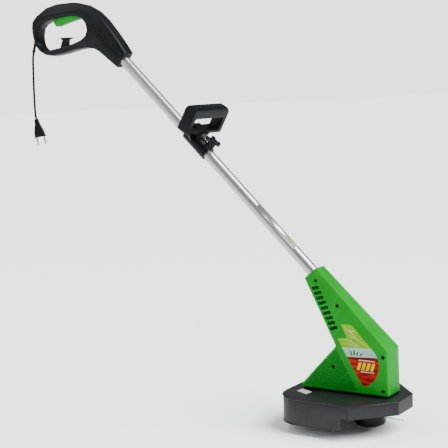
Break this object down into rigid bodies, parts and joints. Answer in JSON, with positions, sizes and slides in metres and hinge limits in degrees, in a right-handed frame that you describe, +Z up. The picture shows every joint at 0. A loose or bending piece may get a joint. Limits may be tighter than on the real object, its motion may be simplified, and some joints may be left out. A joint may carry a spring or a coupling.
{
  "type": "string trimmer",
  "caption": "Corded garden string trimmer: D-handle with trigger, straight aluminium tube, clamped loop handle, upright motor housing, guard and line head.",
  "frame": {"origin": "middle of the rear D-handle's grip, where the hand holds the tool", "axes": "+X forward towards the front of the head, +Y to the user's left, +Z up with the head level in its working position"},
  "size_m": [1.0152, 0.222, 0.9597],
  "materials": {
    "handle_plastic": "satin black moulded plastic",
    "trigger_plastic": "smooth green plastic",
    "steel": "plain steel",
    "switch_plastic": "moulded black",
    "white_plastic": "natural white",
    "black_steel": "blackened steel",
    "cord_rubber": "smooth black flexible plastic",
    "pin_metal": "nickel plated",
    "tube_metal": "drawn, satin",
    "grip_plastic": "satin black moulded plastic",
    "knob_plastic": "glossy black",
    "brass": "plain",
    "housing_plastic": "satin green moulded plastic",
    "lamination_steel": "dull steel laminations",
    "copper": "enamelled copper",
    "carbon": "pressed carbon",
    "base_plastic": "black moulded plastic",
    "guard_plastic": "fine grained black",
    "head_plastic": "black nylon",
    "nut_metal": "turned steel",
    "line_nylon": "translucent green nylon"
  },
  "bodies": {
    "frame": {"base_plate": "base_plastic", "brush_holder_1": "brass", "brush_holder_2": "brass", "carbon_brush_1": "carbon", "carbon_brush_2": "carbon", "cord_boot": "cord_rubber", "field_coil_front": "copper", "field_coil_rear": "copper", "guard": "guard_plastic", "guard_screw_1": "black_steel", "guard_screw_2": "black_steel", "guard_screw_3": "black_steel", "guard_screw_4": "black_steel", "handle_screw_1": "black_steel", "handle_screw_2": "black_steel", "handle_screw_3": "black_steel", "handle_shell_left": "handle_plastic", "handle_shell_right": "handle_plastic", "handle_tube_screw": "black_steel", "housing_left": "housing_plastic", "housing_right": "housing_plastic", "housing_screw_1": "black_steel", "housing_screw_2": "black_steel", "housing_screw_3": "black_steel", "housing_screw_4": "black_steel", "housing_screw_5": "black_steel", "line_cutter": "steel", "line_cutter_screw": "steel", "lower_bearing": "steel", "main_tube": "tube_metal", "motor_lead": "cord_rubber", "plug_body": "cord_rubber", "plug_pin_1": "pin_metal", "plug_pin_2": "pin_metal", "power_cord": "cord_rubber", "stator_core": "lamination_steel", "supply_lead": "cord_rubber", "switch_body": "switch_plastic", "trigger_pin": "steel", "trigger_spring": "steel", "upper_bearing": "steel"},
    "trigger_body": {"trigger": "trigger_plastic"},
    "switch_plunger_body": {"switch_plunger": "white_plastic"},
    "loop_handle": {"aux_handle": "grip_plastic", "aux_clamp_nut": "steel", "aux_brake_shoe": "brass"},
    "clamp_knob": {"aux_clamp_knob": "knob_plastic", "aux_clamp_stud": "steel"},
    "spindle": {"motor_shaft": "steel", "armature_core": "lamination_steel", "commutator": "copper", "cooling_fan": "base_plastic", "head_cap": "head_plastic", "head_cover": "head_plastic", "line_eyelet": "steel", "spindle_nut": "nut_metal", "cutting_line": "line_nylon"},
    "spool": {"line_spool": "white_plastic", "wound_line": "line_nylon"}
  },
  "joints": [
    {"name": "trigger_press", "type": "hinge", "parent": "frame", "child": "trigger_body", "pos_m": [0.031, 0, -0.008], "axis": [0, 1, 0], "range_deg": [0, 6.5], "stiffness_Nm_per_rad": 1.2, "springref_deg": -6.88, "deforming": ["trigger_spring"]},
    {"name": "switch_travel", "type": "slide", "parent": "frame", "child": "switch_plunger_body", "axis": [0, 0, 1], "range_m": [0, 0.0022]},
    {"name": "loop_handle_slide", "type": "slide", "parent": "frame", "child": "loop_handle", "axis": [-0.7169, 0, 0.6972], "range_m": [-0.16, 0.16]},
    {"name": "clamp_knob_turn", "type": "hinge", "parent": "loop_handle", "child": "clamp_knob", "pos_m": [0.39901, 0, -0.33057], "axis": [0.6972, 0, 0.7169], "range_deg": [0, 360]},
    {"name": "spindle_spin", "type": "hinge", "parent": "frame", "child": "spindle", "pos_m": [0.78052, 0, -0.86345], "axis": [0, 0, 1], "continuous": true},
    {"name": "spool_feed", "type": "hinge", "parent": "spindle", "child": "spool", "pos_m": [0.78052, 0, -0.86345], "axis": [0, 0, 1], "continuous": true}
  ],
  "couplings": [
    {"joint": "switch_travel", "follows": "trigger_press", "m_per_rad": 0.018}
  ]
}
